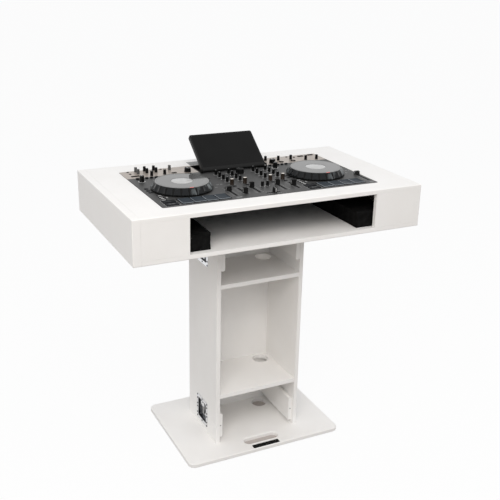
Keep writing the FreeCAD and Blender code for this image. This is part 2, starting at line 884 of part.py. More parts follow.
def write_nodes(nodes):
    os.makedirs("parts", exist_ok=True)
    for name, shape in nodes.items():
        solids = shape if isinstance(shape, list) else [shape]
        Part.makeCompound(solids).exportStep("parts/%s.step" % name)


def main():
    nodes = booth_nodes()
    nodes.update(latch_nodes())
    nodes.update(player_nodes())
    write_nodes(nodes)


if __name__ == "__main__":
    main()
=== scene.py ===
# Looks for a standing DJ booth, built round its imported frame.
# Metres, +Z up, -Y towards the person who plays.
import json
import math

import bmesh
import bpy
from mathutils import Matrix, Vector, noise


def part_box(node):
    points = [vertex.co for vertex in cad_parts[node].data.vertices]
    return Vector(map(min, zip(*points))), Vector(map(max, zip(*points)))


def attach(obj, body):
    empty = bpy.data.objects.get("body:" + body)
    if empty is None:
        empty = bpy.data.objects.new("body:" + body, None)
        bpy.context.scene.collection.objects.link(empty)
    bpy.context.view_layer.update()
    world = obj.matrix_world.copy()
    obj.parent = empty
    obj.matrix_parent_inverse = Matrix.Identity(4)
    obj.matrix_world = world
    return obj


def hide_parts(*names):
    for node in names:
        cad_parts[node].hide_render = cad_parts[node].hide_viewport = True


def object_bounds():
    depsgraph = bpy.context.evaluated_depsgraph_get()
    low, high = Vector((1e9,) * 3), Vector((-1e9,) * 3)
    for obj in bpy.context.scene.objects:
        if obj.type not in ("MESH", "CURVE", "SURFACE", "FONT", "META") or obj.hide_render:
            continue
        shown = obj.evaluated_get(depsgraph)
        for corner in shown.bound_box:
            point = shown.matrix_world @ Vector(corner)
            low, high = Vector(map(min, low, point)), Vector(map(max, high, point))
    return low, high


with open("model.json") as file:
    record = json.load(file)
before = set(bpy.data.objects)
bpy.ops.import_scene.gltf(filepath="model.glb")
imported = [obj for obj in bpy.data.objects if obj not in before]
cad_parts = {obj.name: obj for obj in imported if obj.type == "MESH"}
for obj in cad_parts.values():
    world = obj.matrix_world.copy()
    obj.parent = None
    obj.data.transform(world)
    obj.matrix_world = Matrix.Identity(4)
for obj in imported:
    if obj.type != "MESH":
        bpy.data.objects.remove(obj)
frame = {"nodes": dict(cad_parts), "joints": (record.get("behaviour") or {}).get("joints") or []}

cad_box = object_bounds()
mm = 0.001

# Camera of the photograph
camera_place = Vector((-1.18530, -2.42439, 1.70742))
camera_right = Vector((0.898978, -0.437488, 0.021049))
camera_up = Vector((0.135171, 0.322826, 0.936756))
camera_back = Vector((-0.416615, -0.839278, 0.349349))
camera_lens = 58.017
camera_sensor = 36.0

# Light: lamps as name, place, target, size and power
world_fill = 0.66
world_colour = (0.935, 0.962, 1.0)
backdrop_strength = 1.0
backdrop_colour = (1.0, 1.0, 1.0)
lamp_colour = (1.0, 0.965, 0.93)
lamps = (
    ("top_light", (0.0, -0.3, 3.3), (0, 0, 0.9), 3.0, 3.5),
    ("front_light", (-0.6, -2.2, 3.4), (0, 0, 0.6), 1.4, 25),
    ("corner_light", (-2.0, -2.8, 3.0), (0, 0, 0.6), 1.6, 46),
    ("left_light", (-4.0, -0.8, 1.8), (0, 0, 0.7), 2.0, 15),
    ("right_light", (3.5, -1.6, 2.6), (0, 0, 0.6), 2.0, 16),
)

# Floor, with a darker patch of painted shade under the foot, over the real shadow, that shows in the hand
# slot
floor_reach = 40.0
floor_lift = 0.93
floor_colour = (0.86, 0.855, 0.85)
floor_bounce = (0.37, 0.345, 0.32)
foot_painted_shade = (0.50, 0.455, 0.43)
foot_inset = 0.05

# Surfaces and edges
smooth_angle = math.radians(32)
fine_gap = 0.3 * mm
bevel_steps = 2
bevel_profile = 0.6
edge_softness = 1.2 * mm
edge_samples = 4

# Grain of the materials: parts of the noise that colour and roughness span, and the fine skin
colour_ends = (0.32, 0.68)
rough_ends = (0.3, 0.7)
grey_warmth = 0.985
field_detail = 5
skin_detail = 2
skin_scale = 900
skin_strength = 0.05
skin_depth = 0.1 * mm

# Rivets and screws: the profile is in shares of radius and rise
stud_profile = ((0, 0), (1, 0), (1, 0.35), (0.8, 0.8), (0.4, 1), (0, 1))
stud_steps = 20
rivet_radius = 3.2 * mm
rivet_rise = 1.3 * mm
rivet_rim = 6.5 * mm
rivet_shares = (0.14, 0.68, 1)
screw_radius = 2.4 * mm
screw_rise = 0.6 * mm
screw_heights = (("table_cleats", 0.62), ("base_cleats", 0.5))

# Latch dishes: bright flange, with painted shade on the walls and a lighter painted shade on the pan
dish_sheet = 1.2 * mm
dish_grain = 0.12
pan_painted_light = 0.7
pan_blend = 1.2 * mm

# Grey plate behind the screen, painted shade for the shaded far wall of a cable way in the table top
shade_plate_width = 240 * mm
shade_plate_depth = 43 * mm
shade_plate_gap = 6 * mm
shade_plate_corner = 2 * mm
shade_plate_joint = 1 * mm
shade_plate_rise = 0.4 * mm

# Foam
foam_cell = 6 * mm
foam_swell = 1.2 * mm
foam_ripple = 0.7 * mm
foam_grain = 160
foam_inset = 1.6 * mm
foam_rounding = 2 * mm
foam_fold = math.radians(60)

# Rims of the jog wheels
jog_gap = 2 * mm
jog_skirt = 5 * mm
jog_taper = 11.5 * mm
jog_wall = 4.5 * mm
jog_lip = 2.2 * mm
jog_brow = 1.2 * mm
crown_round = 1 * mm
crown_drop = 0.1 * mm
rim_rows = 4
scallop_count = 24
scallop_steps = 12
scallop_cutter = 20 * mm
scallop_foot = 3.6 * mm
scallop_brow = 1.0 * mm
dent_share = 1 / 3
dent_foot = 2 * mm
dent_step = 0.2 * mm
hub_radius = 14 * mm
hub_gap = 1 * mm
hub_steps = 48
spindle_radius = 6 * mm

# Platters, labels and markers of the jog wheels, turns in degrees
platter_thick = 4 * mm
platter_drop = 0.2 * mm
platter_chamfer = 0.7 * mm
platter_steps = 160
groove_inset = 5 * mm
groove_width = 1.4 * mm
groove_depth = 0.6 * mm
label_radius = 35 * mm
label_thick = 1 * mm
label_chamfer = 0.6 * mm
label_steps = 96
well_gap = 0.6 * mm
well_depth = 1.1 * mm
pit_radius = 9 * mm
pit_depth = 0.4 * mm
marker_place = -90
marker_turn = 9
marker_steps = 8
marker_rim = 0.9 * mm
marker_reach = 4 * mm

# Knobs: head, waist, edge and pointer width are shares of the radius, lip and well of the edge,
# and the pointer's place and length of the head
knob_head = 0.92
knob_waist = 0.985
knob_edge = 0.08
knob_lip = 1.5
knob_well = 2.2
knob_well_drop = 0.7
knob_skirt = 1.6 * mm
skirt_round = 0.3 * mm
knob_flutes = 18
flute_depth = 0.03
flute_rows = (0.02, 0.5, 1)
flute_steps = 3
pointer_width = 0.16
pointer_place = 0.5
pointer_length = 0.8
pointer_rise = 0.05 * mm
shaft_radius = 3 * mm
shaft_steps = 24
group_reach = 6 * mm
grey_knob_steps = (5 * mm, 125 * mm)

# Fader caps: head and waist are shares of half the length, levels are shares of the height
cap_head = 0.76
cap_waist = 0.68
cap_waist_level = 0.55
cap_groove_level = 0.86
cap_groove = 0.9 * mm
cap_foot = 1.5 * mm
cap_brow = 0.5 * mm
cap_line = 1.7 * mm
cap_line_foot = 3 * mm
cap_line_level = 0.88
stem_width = 1.6 * mm
stem_length = 6 * mm

# Printing: scales as ticks, gap and tick length, rings as inner and outer reach, dials in degrees
print_rise = 0.15 * mm
print_line = 0.9 * mm
channel_scale = (9, 11 * mm, 4 * mm)
cross_scale = (7, 10.5 * mm, 4 * mm)
tempo_scale = (13, 9 * mm, 2.4 * mm)
long_tick = 1.5
slot_gap = 2.8 * mm
slot_lip = 1.7 * mm
slot_end = 4 * mm
dial_gap = 2.8 * mm
dial_tick = 2.2 * mm
dial_sweep = 300
dial_middle = 90
dial_dots = 11
effect_dots = 15
dial_ring = (1 * mm, 3.2 * mm)
knob_ring = (0.5 * mm, 1.6 * mm)
ring_steps = 48
button_frame = 1.2 * mm

# Signs on the buttons, in shares of their size
sign_share = 0.2
sign_steps = 32
play_sign = ((-2, -1), (-0.4, 0), (-2, 1))
pause_places = (0.5, 1.5)
pause_bar = (0.5, 2)
cue_ring = 1.25

# Deck printing and keys, as place and size in millimetres from a jog wheel's middle
deck_dashes = ((-82, -80, 4, 12), (110, -30, 9, 2), (98, 92, 12, 2), (126, -3, 8, 2.6), (139, -3, 8, 2.6),
               (133, -160, 20, 3.2))
bar_plate = (-98.5, -78, 16, 62)
deck_bars = ((-97, -54), (-98, -70), (-99, -86), (-100, -101))
deck_bar = (12, 5)
deck_keys = ((-111, 35, 13, 9), (-112, 12, 13, 9), (-112, -10, 13, 9), (109, 76, 13, 7), (124, 76, 13, 7))
rear_keys = ((-100, 156), (-67, 156), (-50, 156), (-33, 156))
rear_key = (10, 8)
rear_key_rise = 4.5 * mm
key_rise = 1.6 * mm
key_edge = 0.4 * mm
key_round = 0.22

# Mixer keys, as place and size in millimetres from a filter knob's middle
mixer_key = (0, -22, 12, 6.5)

# Rear strip, in millimetres from the booth's middle: the ring's profile is in shares of radius and rise
strip_slots = ((-354, 148, 28, 8), (-213, 145, 19, 7), (321, 196, 24, 9), (367, 202, 22, 9))
strip_dots = ((-362, 207), (-361, 181), (-241, 206), (265, 204), (290, 190))
strip_rings = ((262, 145), (212, 145))
dot_radius = 4.4 * mm
ring_radius = 9 * mm
ring_profile = ((0.62, 0), (1, 0), (1, 0.7), (0.9, 1), (0.62, 1))
socket_steps = 40

# Performance pads
pad_count = 8
pad_surround = 4 * mm
pad_corner = 2.5 * mm
pad_chamfer = 0.7 * mm
pad_rim = 1.2 * mm
pad_slope = 1.4
pad_dish = 0.3 * mm

# Levels and places read from the frame
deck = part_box("player_faceplate")[1].z
column_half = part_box("column_right_panel")[1].x
partings = (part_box("column_right_panel")[0].z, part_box("column_right_panel")[1].z)
dish_floor = min(abs(v.co.x) for v in frame["nodes"]["latch_dishes"].data.vertices) + dish_sheet
base_low, base_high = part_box("base_plate")
board = base_high.z - base_low.z
sides = ("left", "right")
numbers = (1, 2, 3, 4)


# Material tools

def principled_of(material):
    return material.node_tree.nodes["Principled BSDF"]


def socket_name(key):
    return key.replace("_", " ").title().replace("Ior", "IOR")


def new_material(name, **sockets):
    material = bpy.data.materials.new(name)
    material.use_nodes = True
    for key, value in sockets.items():
        principled_of(material).inputs[socket_name(key)].default_value = value
    return material


def add_node(material, kind, **settings):
    node = material.node_tree.nodes.new("ShaderNode" + kind)
    for key, value in settings.items():
        if socket_name(key) in node.inputs:
            node.inputs[socket_name(key)].default_value = value
        else:
            setattr(node, key, value)
    return node


def link(material, start, output, end, socket):
    material.node_tree.links.new(start.outputs[output], end.inputs[socket])


def noise_field(material, scale, stretch=(1, 1, 1), detail=field_detail):
    place = add_node(material, "TexCoord")
    mapping = add_node(material, "Mapping", scale=stretch)
    field = add_node(material, "TexNoise", scale=scale, detail=detail)
    link(material, place, "Object", mapping, "Vector")
    link(material, mapping, "Vector", field, "Vector")
    return field


def colour_by(material, source, output, colours, ends=colour_ends):
    ramp = add_node(material, "ValToRGB")
    for element, end, colour in zip(ramp.color_ramp.elements, ends, colours):
        element.position = end
        element.color = (*colour, 1)
    link(material, source, output, ramp, "Fac")
    link(material, ramp, "Color", principled_of(material), "Base Color")


def roughness_by(material, source, output, rough, ends=rough_ends):
    spread = add_node(material, "MapRange", from_min=ends[0], from_max=ends[1],
                      to_min=rough[0], to_max=rough[1])
    link(material, source, output, spread, "Value")
    link(material, spread, "Result", principled_of(material), "Roughness")


def emboss(material, height, output, strength, depth, soft_edge=0):
    bump = add_node(material, "Bump", strength=strength, distance=depth)
    link(material, height, output, bump, "Height")
    if soft_edge:
        bevel = add_node(material, "Bevel", samples=edge_samples, radius=soft_edge)
        link(material, bevel, "Normal", bump, "Normal")
    link(material, bump, "Normal", principled_of(material), "Normal")


def varied(name, dark, light, grain, rough, skin=skin_scale, relief=skin_strength, stretch=(1, 1, 1),
           soft_edge=0, ends=colour_ends, **sockets):
    material = new_material(name, **sockets)
    field = noise_field(material, grain, stretch)
    colour_by(material, field, "Fac", (dark, light), ends)
    roughness_by(material, field, "Fac", rough)
    fine = noise_field(material, skin, stretch, skin_detail)
    emboss(material, fine, "Fac", relief, skin_depth, soft_edge)
    return material


def grey(value):
    return (value, value, value * grey_warmth)


# Materials of the booth

def foam():
    material = new_material("foam_black", specular_ior_level=0.08)
    field = noise_field(material, scale=60)
    colour_by(material, field, "Fac", (grey(0.003), grey(0.010)))
    roughness_by(material, field, "Fac", rough=(0.9, 1.0))
    cells = add_node(material, "TexVoronoi", scale=420)
    link(material, add_node(material, "TexCoord"), "Object", cells, "Vector")
    emboss(material, cells, "Distance", strength=0.8, depth=0.9 * mm)
    return material


# Painted shade: the dish walls are coloured dark and the pan dimmer than the flange, by depth along x, for
# the shade in the recess
def dish_steel_painted_shade():
    material = new_material("plated_dish_painted_shade", metallic=1.0)
    place = add_node(material, "TexCoord")
    axes = add_node(material, "SeparateXYZ")
    depth = add_node(material, "Math", operation="ABSOLUTE")
    flange = add_node(material, "MapRange", from_min=column_half - fine_gap,
                      from_max=column_half + fine_gap)
    pan = add_node(material, "MapRange", from_min=dish_floor + fine_gap, from_max=dish_floor + pan_blend,
                   to_min=pan_painted_light, to_max=0)
    level = add_node(material, "Math", operation="MAXIMUM")
    grain = add_node(material, "Math", operation="MULTIPLY_ADD")
    grain.inputs[1].default_value = dish_grain
    link(material, place, "Object", axes, "Vector")
    link(material, axes, "X", depth, 0)
    link(material, depth, "Value", flange, "Value")
    link(material, depth, "Value", pan, "Value")
    link(material, flange, "Result", level, 0)
    link(material, pan, "Result", level, 1)
    link(material, noise_field(material, scale=160), "Fac", grain, 0)
    link(material, level, "Value", grain, 2)
    colour_by(material, grain, "Value", ((0.05, 0.05, 0.053), (0.74, 0.75, 0.77)), ends=(0.05, 0.95))
    roughness_by(material, grain, "Value", rough=(0.34, 0.2), ends=(0, 1.1))
    return material


def booth_paints():
    return {
        "white": varied("white_laminate", (0.888, 0.868, 0.841), (0.915, 0.898, 0.875), grain=9,
                        rough=(0.40, 0.50), skin=1400, soft_edge=edge_softness),
        "foam": foam(),
        "dish": dish_steel_painted_shade(),
        "badge": varied("badge_black", grey(0.003), grey(0.007), grain=90, rough=(0.35, 0.5),
                        specular_ior_level=0.12),
        # Grey of the plate of painted shade behind the player
        "shade_plate_paint": varied("grey_painted_shade", grey(0.24), grey(0.31), grain=30, rough=(0.4, 0.55),
                        specular_ior_level=0.12),
        "chrome": varied("plated_steel", (0.62, 0.63, 0.65), (0.80, 0.81, 0.83), grain=160,
                         rough=(0.14, 0.30), metallic=1.0),
        "screw": varied("screw_zinc", grey(0.20), grey(0.30), grain=200, rough=(0.3, 0.45), metallic=0.6),
        "zinc": varied("cam_zinc", grey(0.24), grey(0.36), grain=180, rough=(0.26, 0.4), metallic=0.9),
        "black_steel": varied("black_steel", grey(0.008), grey(0.02), grain=220, rough=(0.30, 0.5),
                              specular_ior_level=0.3),
    }


# Materials of the player

def platter():
    material = new_material("platter_grey", specular_ior_level=0.7)
    field = noise_field(material, scale=30)
    colour_by(material, field, "Fac", (grey(0.095), grey(0.115)))
    roughness_by(material, field, "Fac", rough=(0.03, 0.06))
    rings = add_node(material, "TexWave", scale=130, wave_type="RINGS", rings_direction="Z")
    link(material, add_node(material, "TexCoord"), "Object", rings, "Vector")
    emboss(material, rings, "Fac", strength=0.03, depth=0.03 * mm)
    return material


def housing_paints():
    return {
        "tray": varied("tray_black_and_well_shade", grey(0.003), grey(0.007), grain=40, rough=(0.5, 0.65),
                       specular_ior_level=0.06),
        "deck": varied("deck_grey", grey(0.026), grey(0.048), grain=420, rough=(0.40, 0.56), skin=2600,
                       relief=0.15, specular_ior_level=0.45),
        "strip": varied("strip_champagne", (0.35, 0.30, 0.26), (0.45, 0.40, 0.355), grain=5,
                        rough=(0.30, 0.42), skin=60, stretch=(1, 24, 24), metallic=0.3),
        "screen": varied("screen_black", grey(0.0016), grey(0.0030), grain=14, rough=(0.16, 0.24),
                         specular_ior_level=0.14),
        "housing": varied("screen_shell", grey(0.0028), grey(0.0050), grain=150, rough=(0.38, 0.5),
                          specular_ior_level=0.2),
        "brass": varied("bush_brass", (0.55, 0.42, 0.22), (0.70, 0.55, 0.30), grain=140, rough=(0.25, 0.4),
                        metallic=1.0),
        "socket": varied("socket_black", grey(0.001), grey(0.003), grain=300, rough=(0.7, 0.9),
                         specular_ior_level=0.04),
        "paint": varied("print_white", grey(0.58), grey(0.68), grain=400, rough=(0.45, 0.6)),
        "print": varied("print_grey", grey(0.36), grey(0.48), grain=400, rough=(0.5, 0.65)),
    }


def control_paints():
    return {
        "plastic": varied("plastic_black", grey(0.002), grey(0.005), grain=120, rough=(0.32, 0.45),
                          specular_ior_level=0.2),
        "knob": varied("knob_black", grey(0.002), grey(0.005), grain=300, rough=(0.20, 0.32),
                       specular_ior_level=0.2),
        "knob_grey": varied("knob_grey", grey(0.06), grey(0.09), grain=300, rough=(0.12, 0.22)),
        "copper": varied("knob_copper", (0.020, 0.014, 0.010), (0.042, 0.029, 0.021), grain=300,
                         rough=(0.16, 0.28), metallic=0.2),
        "beige": varied("cap_beige", (0.72, 0.67, 0.60), (0.82, 0.77, 0.70), grain=200, rough=(0.3, 0.42)),
        "rim": varied("jog_rim_black", grey(0.002), grey(0.007), grain=80, rough=(0.12, 0.22),
                      specular_ior_level=0.14),
        # Painted reflections: light slate patches in the scallop dents stand for glints on the black rim
        "dent": varied("jog_dent_painted_glints", (0.005, 0.006, 0.007), (0.17, 0.19, 0.195), grain=18,
                       rough=(0.10, 0.2), ends=(0.52, 0.72), specular_ior_level=0.25),
        "platter": platter(),
        "label": varied("label_silver", grey(0.43), grey(0.51), grain=60, rough=(0.10, 0.18)),
        # The red marker's emission paints a glow on it
        "marker": varied("marker_red_painted_glow", (0.66, 0.06, 0.06), (0.84, 0.16, 0.14), grain=200, rough=(0.3, 0.4),
                         emission_color=(1, 0.22, 0.18, 1), emission_strength=0.35),
        "pad": varied("pad_slate", (0.020, 0.026, 0.033), (0.040, 0.050, 0.060), grain=260,
                      rough=(0.45, 0.60), specular_ior_level=0.1),
        # Painted highlight: the light slate on the pads' chamfers stands for light caught by the edges
        "pad_edge": varied("slate_pad_painted_highlight", (0.27, 0.30, 0.325), (0.40, 0.43, 0.46), grain=500,
                           rough=(0.3, 0.45)),
        "button": varied("button_black", (0.003, 0.004, 0.005), (0.006, 0.007, 0.009), grain=260,
                         rough=(0.4, 0.55), specular_ior_level=0.08),
    }


paints = {**booth_paints(), **housing_paints(), **control_paints()}


# Mesh tools

def make_piece(bm, name, body, materials, origin=(0, 0, 0)):
    bmesh.ops.recalc_face_normals(bm, faces=bm.faces)
    mesh = bpy.data.meshes.new(name)
    bm.to_mesh(mesh)
    bm.free()
    for material in materials:
        mesh.materials.append(paints[material])
    mesh.shade_smooth()
    mesh.set_sharp_from_angle(angle=smooth_angle)
    piece = bpy.data.objects.new(name, mesh)
    piece.location = origin
    bpy.context.scene.collection.objects.link(piece)
    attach(piece, body)
    return piece


def neighbours(rings, closed):
    return zip(rings, rings[1:] + rings[:1] if closed else rings[1:])


def lathe(bm, outline, steps, tint=0, closed=False, shape=None, at=Matrix()):
    rings = []
    for radius, height in outline:
        ring = []
        for step in range(steps if radius else 1):
            angle = 2 * math.pi * step / steps
            reach, angle = shape(radius, height, angle) if shape else (radius, angle)
            spot = Vector((reach * math.cos(angle), reach * math.sin(angle), height))
            ring.append(bm.verts.new(at @ spot))
        rings.append(ring)
    for number, (low, high) in enumerate(neighbours(rings, closed)):
        for step in range(steps):
            after = (step + 1) % steps
            turns = ((low, step), (low, after), (high, after), (high, step))
            corners = [ring[turn % len(ring)] for ring, turn in turns]
            face = bm.faces.new(list(dict.fromkeys(corners)))
            face.material_index = tint(number, step) if callable(tint) else tint


def band(bm, low, high, tint=0):
    for i in range(len(low)):
        j = (i + 1) % len(low)
        bm.faces.new((low[i], low[j], high[j], high[i])).material_index = tint


def soften(bm, edges, width):
    bmesh.ops.bevel(bm, geom=list(edges), offset=width, segments=bevel_steps, affect="EDGES",
                    profile=bevel_profile)


def prism(bm, outline, low, high, tint=0, edge=0):
    bottom = [bm.verts.new((x, y, low)) for x, y in outline]
    top = [bm.verts.new((x, y, high)) for x, y in outline]
    caps = [bm.faces.new(bottom[::-1]), bm.faces.new(top)]
    for face in caps:
        face.material_index = tint
    band(bm, bottom, top, tint)
    if edge:
        soften(bm, caps[1].edges, edge)


def loft(bm, layers, tints, closed=False):
    rings = [[bm.verts.new((x, y, z)) for x, y in outline] for outline, z in layers]
    for (low, high), tint in zip(neighbours(rings, closed), tints):
        band(bm, low, high, tint)
    if not closed:
        bm.faces.new(rings[0][::-1]).material_index = tints[0]
        bm.faces.new(rings[-1]).material_index = tints[-1]


def rectangle(x, y, width, depth, turn=0):
    across = Vector((math.cos(turn), math.sin(turn))) * width / 2
    along = Vector((-math.sin(turn), math.cos(turn))) * depth / 2
    middle = Vector((x, y))
    ways = ((-1, -1), (1, -1), (1, 1), (-1, 1))
    return [middle + i * across + j * along for i, j in ways]


def round_rectangle(x, y, width, depth, radius, steps=4):
    outline = []
    for quarter, (i, j) in enumerate(((1, 1), (-1, 1), (-1, -1), (1, -1))):
        for step in range(steps + 1):
            angle = math.pi / 2 * (quarter + step / steps)
            outline.append((x + i * (width / 2 - radius) + radius * math.cos(angle),
                            y + j * (depth / 2 - radius) + radius * math.sin(angle)))
    return outline


def flat_ring(inner, outer):
    return [(inner, 0), (outer, 0), (outer, print_rise), (inner, print_rise)]


# Places read from the solids

def middle_of(node):
    low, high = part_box(node)
    return (low + high) / 2


def points_of(node):
    return [v.co.copy() for v in frame["nodes"][node].data.vertices]


def box_of(points):
    return Vector(map(min, *points)), Vector(map(max, *points))


def boxes_of(node):
    low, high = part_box(node)
    groups = []
    for point in points_of(node):
        if point.z < low.z + fine_gap:
            near = [g for g in groups if any((p - point).length < group_reach for p in g)]
            groups = [g for g in groups if g not in near] + [sum(near, [point])]
    rise = Vector((0, 0, high.z - low.z))
    return [(start, end + rise) for start, end in map(box_of, groups)]


def placed(middle, x, y, *size):
    return (middle.x + x * mm, middle.y + y * mm, *(length * mm for length in size))


# Boards, latches and the player's housing keep their solids

def dress(material, *nodes):
    for node in nodes:
        mesh = frame["nodes"][node].data
        mesh.materials.clear()
        mesh.materials.append(paints[material])


def dress_frame():
    dress("white", *[n for n in frame["nodes"] if n.startswith(("base_", "column_", "table_"))])
    dress("badge", "base_badge")
    dress("dish", "latch_dishes")
    # The screen well takes the tray's black as painted shade under the screen
    dress("tray", "player_tray", "screen_well")
    dress("deck", "player_faceplate")
    dress("strip", "player_rear_panel")
    dress("brass", "jog_bushes")
    dress("housing", "screen_housing")
    dress("screen", "screen_glass")
    for side in sides:
        dress("button", "cue_button_" + side, "play_button_" + side)
        for level in ("lower", "upper"):
            dress("zinc", "latch_cam_%s_%s" % (level, side))
            dress("chrome", "latch_wing_%s_%s" % (level, side))


# Rivets in the latch flanges, and the screws in the ends of the guide cleats

def stud(bm, place, axis, radius, rise):
    at = Matrix.Translation(place) @ Vector(axis).to_track_quat("Z", "Y").to_matrix().to_4x4()
    lathe(bm, [(r * radius, h * rise) for r, h in stud_profile], stud_steps, at=at)


def rivet_spots(low, high):
    side_line = high.y - rivet_rim
    end_line = (high.z - low.z - partings[1] + partings[0]) / 2 - rivet_rim
    spots = []
    for way in (-1, 1):
        spots.append((0, way * end_line))
        for share in rivet_shares:
            spots += [(-side_line, way * share * end_line), (side_line, way * share * end_line)]
    return spots


def make_rivets():
    low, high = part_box("latch_dishes")
    bm = bmesh.new()
    for side in (-1, 1):
        for parting in partings:
            for y, z in rivet_spots(low, high):
                stud(bm, (side * high.x, y, parting + z), (side, 0, 0), rivet_radius, rivet_rise)
    make_piece(bm, "latch_rivets", "booth", ["black_steel"])


def make_cleat_screws():
    bm = bmesh.new()
    for node, share in screw_heights:
        low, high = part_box(node)
        for side in (-1, 1):
            place = (side * (high.x - board / 2), low.y, low.z + share * (high.z - low.z))
            stud(bm, place, (0, -1, 0), screw_radius, screw_rise)
    make_piece(bm, "cleat_screws", "booth", ["screw"])


# Foam rails under the player

def foam_rail(bm, low, high):
    size = high - low
    middle = (low + high) / 2
    cells = [max(2, round(s / foam_cell)) for s in size]
    grid = {}

    def corner(index):
        if index not in grid:
            share = [i / c for i, c in zip(index, cells)]
            point = Vector(low[a] + size[a] * share[a] for a in range(3))
            ripple = foam_ripple * noise.noise(point * foam_grain)
            push = foam_swell * math.sin(math.pi * share[2]) + ripple - foam_inset
            for axis in (0, 1):
                if index[axis] in (0, cells[axis]):
                    point[axis] += math.copysign(push, point[axis] - middle[axis])
            grid[index] = bm.verts.new(point)
        return grid[index]

    for axis in range(3):
        u, v = [a for a in range(3) if a != axis]
        for end in (0, cells[axis]):
            for a in range(cells[u]):
                for b in range(cells[v]):
                    quad = []
                    for da, db in ((0, 0), (1, 0), (1, 1), (0, 1)):
                        index = [end, end, end]
                        index[u], index[v] = a + da, b + db
                        quad.append(corner(tuple(index)))
                    bm.faces.new(quad)


def make_foam():
    bm = bmesh.new()
    for side in (-1, 1):
        foam_rail(bm, *box_of([p for p in points_of("foam_rails") if p.x * side > 0]))
    piece = make_piece(bm, "foam_rail_pair", "booth", ["foam"])
    rounding = piece.modifiers.new("soft edges", "BEVEL")
    rounding.width = foam_rounding
    rounding.segments = bevel_steps
    rounding.limit_method = "ANGLE"
    rounding.angle_limit = foam_fold
    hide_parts("foam_rails")


# Jog wheels

def dent_place(angle):
    return (angle * scallop_count / (2 * math.pi) + 0.5) % 1 - 0.5


def dented(reach, angle, share):
    pitch = 2 * math.pi / scallop_count
    place = dent_place(angle)
    depth = scallop_foot + (scallop_brow - scallop_foot) * share
    half = math.sqrt(scallop_cutter ** 2 - (scallop_cutter - depth) ** 2)
    cut = 0
    if abs(place) < dent_share:
        across = half * abs(place) / dent_share
        cut = math.sqrt(scallop_cutter ** 2 - across ** 2) - scallop_cutter + depth
    else:
        across = half + (abs(place) - dent_share) / (0.5 - dent_share) * (pitch * reach / 2 - half)
    return reach - cut, angle + math.copysign(across / reach - abs(place) * pitch, place)


def jog_rim(bm, radius, bottom, top):
    crown = radius - jog_taper
    plate = crown - jog_lip
    foot = jog_gap + dent_foot
    shoulder = jog_gap + jog_skirt
    brow = top - jog_brow
    steps = scallop_steps * scallop_count

    def cut(reach, height, angle):
        if foot < height <= brow and reach >= crown:
            return dented(reach, angle, max(0, (height - shoulder) / (brow - shoulder)))
        return reach, angle

    outline = [(radius - jog_wall, jog_gap), (radius - fine_gap, jog_gap), (radius, jog_gap + fine_gap),
               (radius, foot - dent_step), (radius, foot + dent_step), (radius, shoulder)]
    first = len(outline) - 2
    for row in range(1, rim_rows + 1):
        outline.append((radius - jog_taper * row / rim_rows, shoulder + (brow - shoulder) * row / rim_rows))
    outline += [(crown - crown_round, top - crown_drop), (plate, top - fine_gap), (plate, top - jog_wall),
                (crown - jog_wall, top - jog_wall), (radius - jog_wall, shoulder)]

    # Faces in the dents take the paint of painted reflections
    def tint(number, step):
        in_dent = abs(dent_place(2 * math.pi * (step + 0.5) / steps)) < dent_share
        return 1 if in_dent and 0 <= number - first <= rim_rows else 0

    lathe(bm, outline, steps, tint, closed=True, shape=cut)
    hub_foot = jog_gap + hub_gap
    hub = [(0, bottom), (spindle_radius, bottom), (spindle_radius, hub_foot), (hub_radius, hub_foot),
           (hub_radius, top - jog_wall), (0, top - jog_wall)]
    lathe(bm, hub, hub_steps)


def jog_platter(bm, radius, top):
    plate = radius - jog_taper - jog_lip - fine_gap / 2
    skin = top - platter_drop
    groove = plate - groove_inset
    low = top - groove_depth
    well = top - well_depth
    outline = [(0, top - platter_thick), (plate, top - platter_thick), (plate, skin - platter_chamfer),
               (plate - platter_chamfer, skin), (groove, skin), (groove - fine_gap, low),
               (groove - groove_width + fine_gap, low), (groove - groove_width, skin),
               (label_radius + 2 * well_gap, skin), (label_radius + well_gap, well), (0, well)]
    lathe(bm, outline, platter_steps)


def jog_disc(bm, top):
    skin = top - fine_gap
    low = top - label_thick
    pit = skin - pit_depth
    outline = [(0, low), (label_radius, low), (label_radius, skin - fine_gap),
               (label_radius - label_chamfer, skin), (pit_radius, skin), (pit_radius - pit_depth, pit),
               (0, pit)]
    lathe(bm, outline, label_steps)


def jog_marker(bm, radius, top):
    plate = radius - jog_taper - jog_lip
    shares = [step / marker_steps - 0.5 for step in range(marker_steps + 1)]
    turns = [math.radians(marker_place + marker_turn * share) for share in shares]
    outer, inner = [[(reach * math.cos(turn), reach * math.sin(turn)) for turn in turns]
                    for reach in (plate - marker_rim, plate - marker_reach)]
    prism(bm, outer + inner[::-1], top - fine_gap, top)


def make_jog(side):
    node = "jog_wheel_" + side
    low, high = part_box(node)
    radius = (high.x - low.x) / 2
    top = high.z - deck
    origin = (middle_of(node).x, middle_of(node).y, deck)
    parts = {"rim": bmesh.new(), "platter": bmesh.new(), "label": bmesh.new(), "marker": bmesh.new()}
    jog_rim(parts["rim"], radius, low.z - deck, top)
    jog_platter(parts["platter"], radius, top)
    jog_disc(parts["label"], top)
    jog_marker(parts["marker"], radius, top)
    for name, bm in parts.items():
        materials = ["rim", "dent"] if name == "rim" else [name]
        piece = make_piece(bm, node + "_" + name, node, materials, origin)
        if name == "rim":
            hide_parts(node)


# Knobs

